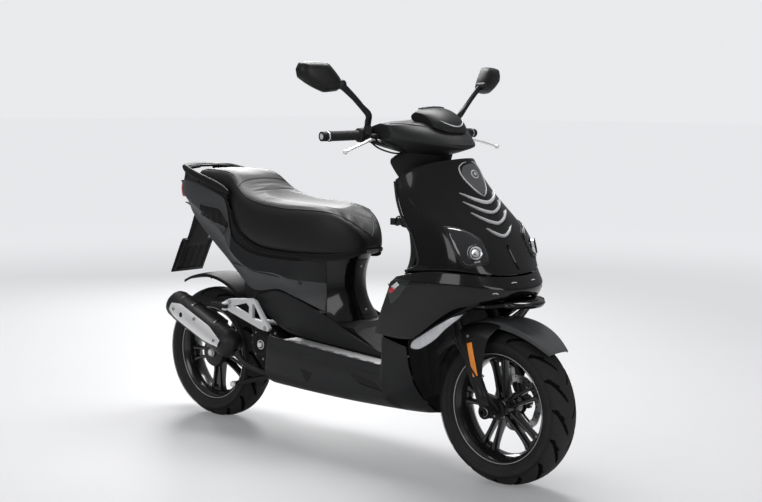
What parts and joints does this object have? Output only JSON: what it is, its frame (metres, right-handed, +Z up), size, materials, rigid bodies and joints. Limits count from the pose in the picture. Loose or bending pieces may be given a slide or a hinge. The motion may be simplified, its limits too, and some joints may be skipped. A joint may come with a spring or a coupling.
{
  "type": "moped scooter",
  "caption": "Step-through moped scooter with swinging engine unit, telescopic fork, two-level seat, folding pegs and a number plate bracket.",
  "frame": {"origin": "on the ground, on the centre plane, midway between the two axles", "axes": "+X forward, +Y to the rider's left, +Z up"},
  "size_m": [1.8259, 0.947, 1.292],
  "materials": {
    "gloss_black": "gloss",
    "satin_grey": "satin",
    "matte_black": "matte",
    "seat_vinyl": "grained, satin",
    "tyre": "matte",
    "rubber": "matte, ribbed",
    "wheel_black": "gloss",
    "dark_metal": "satin",
    "cast_alloy": "as cast",
    "bright_alloy": "brushed",
    "steel": "brushed",
    "lamp_lens": "clear",
    "red_lens": "gloss",
    "belt": "matte"
  },
  "bodies": {
    "chassis": {"frame": "dark_metal", "front_shield": "gloss_black", "nose_trim": "cast_alloy", "headlights": "lamp_lens", "wing_panels": "gloss_black", "front_indicators": "lamp_lens", "inner_legshield": "satin_grey", "wheel_arch": "matte_black", "floorboard": "matte_black", "tread_strips": "bright_alloy", "side_skirts": "satin_grey", "mid_panels": "satin_grey", "seat_tower": "gloss_black", "tail_panels": "satin_grey", "tail_light": "red_lens", "grab_rail": "matte_black", "plate_holder": "matte_black", "storage_box": "matte_black", "pillion_brackets": "cast_alloy", "fuel_tank": "dark_metal"},
    "fuel_cap": {"fuel_cap": "matte_black"},
    "glovebox_door": {"glovebox_door": "satin_grey"},
    "key": {"key_barrel": "steel"},
    "seat": {"seat_cover": "seat_vinyl", "seat_base": "matte_black"},
    "footpeg_r": {"footpeg_r": "rubber"},
    "footpeg_l": {"footpeg_l": "rubber"},
    "steering": {"steering_stem": "steel", "handlebar": "dark_metal", "handlebar_cover": "matte_black", "instrument_pod": "matte_black", "control_housings": "matte_black"},
    "throttle": {"throttle_grip": "rubber"},
    "lever_r": {"brake_lever_r": "bright_alloy"},
    "lever_l": {"brake_lever_l": "bright_alloy"},
    "mirror_stem_r": {"mirror_stem_r": "matte_black"},
    "mirror_stem_l": {"mirror_stem_l": "matte_black"},
    "mirror_head_r": {"mirror_head_r": "matte_black"},
    "mirror_head_l": {"mirror_head_l": "matte_black"},
    "fork_lower": {"fork_legs": "dark_metal", "front_mudguard": "gloss_black", "front_caliper": "dark_metal"},
    "front_wheel": {"front_tyre": "tyre", "front_rim": "wheel_black", "front_disc": "steel"},
    "engine": {"engine_case": "dark_metal", "fan_cover": "matte_black", "muffler": "dark_metal", "muffler_shield": "bright_alloy", "rear_mudguard": "matte_black", "drive_belt": "belt"},
    "rear_wheel": {"rear_tyre": "tyre", "rear_rim": "wheel_black"},
    "crank": {"crank_fan": "steel"},
    "driven_pulley": {"driven_pulley": "steel"},
    "kick_lever": {"kick_lever": "steel"},
    "center_stand": {"center_stand": "dark_metal"},
    "shock_upper": {"shock_upper": "dark_metal", "shock_spring": "steel"},
    "shock_lower": {"shock_lower": "steel"}
  },
  "joints": [
    {"name": "steering_turn", "type": "hinge", "parent": "chassis", "child": "steering", "pos_m": [0.41691, 0, 0.72505], "axis": [-0.4226, 0, 0.9063], "range_deg": [-38, 38]},
    {"name": "fork_travel", "type": "slide", "parent": "steering", "child": "fork_lower", "axis": [-0.4226, 0, 0.9063], "range_m": [0, 0.042], "stiffness_N_per_m": 9000},
    {"name": "front_wheel_spin", "type": "hinge", "parent": "fork_lower", "child": "front_wheel", "pos_m": [0.67, 0, 0.243], "axis": [0, 1, 0], "continuous": true},
    {"name": "throttle_twist", "type": "hinge", "parent": "steering", "child": "throttle", "pos_m": [0.259, -0.19, 1.077], "axis": [-0.158, -0.9873, -0.0169], "range_deg": [0, 75], "stiffness_Nm_per_rad": 0.3, "springref_deg": -11.46},
    {"name": "brake_lever_r_pull", "type": "hinge", "parent": "steering", "child": "lever_r", "pos_m": [0.294, -0.206, 1.064], "axis": [0, 0, -1], "range_deg": [0, 14], "stiffness_Nm_per_rad": 2},
    {"name": "brake_lever_l_pull", "type": "hinge", "parent": "steering", "child": "lever_l", "pos_m": [0.294, 0.206, 1.064], "axis": [0, 0, 1], "range_deg": [0, 14], "stiffness_Nm_per_rad": 2},
    {"name": "mirror_stem_r_turn", "type": "hinge", "parent": "steering", "child": "mirror_stem_r", "pos_m": [0.272, -0.21, 1.11], "axis": [0, 0, 1], "range_deg": [-25, 25]},
    {"name": "mirror_stem_l_turn", "type": "hinge", "parent": "steering", "child": "mirror_stem_l", "pos_m": [0.272, 0.21, 1.11], "axis": [0, 0, 1], "range_deg": [-25, 25]},
    {"name": "mirror_head_r_tilt", "type": "hinge", "parent": "mirror_stem_r", "child": "mirror_head_r", "pos_m": [0.278, -0.342, 1.232], "axis": [-0.259, -0.9659, 0], "range_deg": [-8, 8]},
    {"name": "mirror_head_l_tilt", "type": "hinge", "parent": "mirror_stem_l", "child": "mirror_head_l", "pos_m": [0.278, 0.342, 1.232], "axis": [-0.259, 0.9659, 0], "range_deg": [-8, 8]},
    {"name": "key_turn", "type": "hinge", "parent": "chassis", "child": "key", "pos_m": [0.312, -0.098, 0.8035], "axis": [0.979, 0, 0.204], "range_deg": [0, 90]},
    {"name": "glovebox_door_open", "type": "hinge", "parent": "chassis", "child": "glovebox_door", "pos_m": [0.331, 0, 0.59], "axis": [0, -1, 0], "range_deg": [0, 60]},
    {"name": "seat_open", "type": "hinge", "parent": "chassis", "child": "seat", "pos_m": [0.104, 0, 0.684], "axis": [0, 1, 0], "range_deg": [0, 70]},
    {"name": "fuel_cap_twist", "type": "hinge", "parent": "chassis", "child": "fuel_cap", "pos_m": [-0.52, 0, 0.75], "axis": [0, 0, 1], "range_deg": [0, 120]},
    {"name": "footpeg_r_fold", "type": "hinge", "parent": "chassis", "child": "footpeg_r", "pos_m": [-0.43, -0.19, 0.459], "axis": [0, 0, 1], "range_deg": [0, 88]},
    {"name": "footpeg_l_fold", "type": "hinge", "parent": "chassis", "child": "footpeg_l", "pos_m": [-0.43, 0.19, 0.459], "axis": [0, 0, -1], "range_deg": [0, 88]},
    {"name": "engine_swing", "type": "hinge", "parent": "chassis", "child": "engine", "pos_m": [-0.19, 0, 0.262], "axis": [0, 1, 0], "range_deg": [0, 4.5], "stiffness_Nm_per_rad": 6000},
    {"name": "rear_wheel_spin", "type": "hinge", "parent": "engine", "child": "rear_wheel", "pos_m": [-0.67, 0, 0.243], "axis": [0, 1, 0], "continuous": true},
    {"name": "crank_spin", "type": "hinge", "parent": "engine", "child": "crank", "pos_m": [-0.293, 0, 0.333], "axis": [0, 1, 0], "continuous": true},
    {"name": "driven_pulley_spin", "type": "hinge", "parent": "engine", "child": "driven_pulley", "pos_m": [-0.585, 0, 0.272], "axis": [0, 1, 0], "continuous": true},
    {"name": "kick_start", "type": "hinge", "parent": "engine", "child": "kick_lever", "pos_m": [-0.43, 0, 0.29], "axis": [0, -1, 0], "range_deg": [0, 45], "stiffness_Nm_per_rad": 3, "springref_deg": -17.19},
    {"name": "stand_fold", "type": "hinge", "parent": "engine", "child": "center_stand", "pos_m": [-0.278, 0, 0.222], "axis": [0, -1, 0], "range_deg": [0, 70]},
    {"name": "shock_tilt", "type": "hinge", "parent": "chassis", "child": "shock_upper", "pos_m": [-0.6, 0.12, 0.64], "axis": [0, 1, 0], "range_deg": [-2.9, 0]},
    {"name": "shock_stroke", "type": "slide", "parent": "shock_upper", "child": "shock_lower", "axis": [0, 0, 1], "range_m": [0, 0.0313], "deforming": ["shock_spring"]}
  ],
  "couplings": [
    {"joint": "driven_pulley_spin", "follows": "crank_spin", "ratio": 1},
    {"joint": "shock_tilt", "follows": "engine_swing", "ratio": -0.63571},
    {"joint": "shock_stroke", "follows": "engine_swing", "m_per_rad": 0.39698}
  ]
}
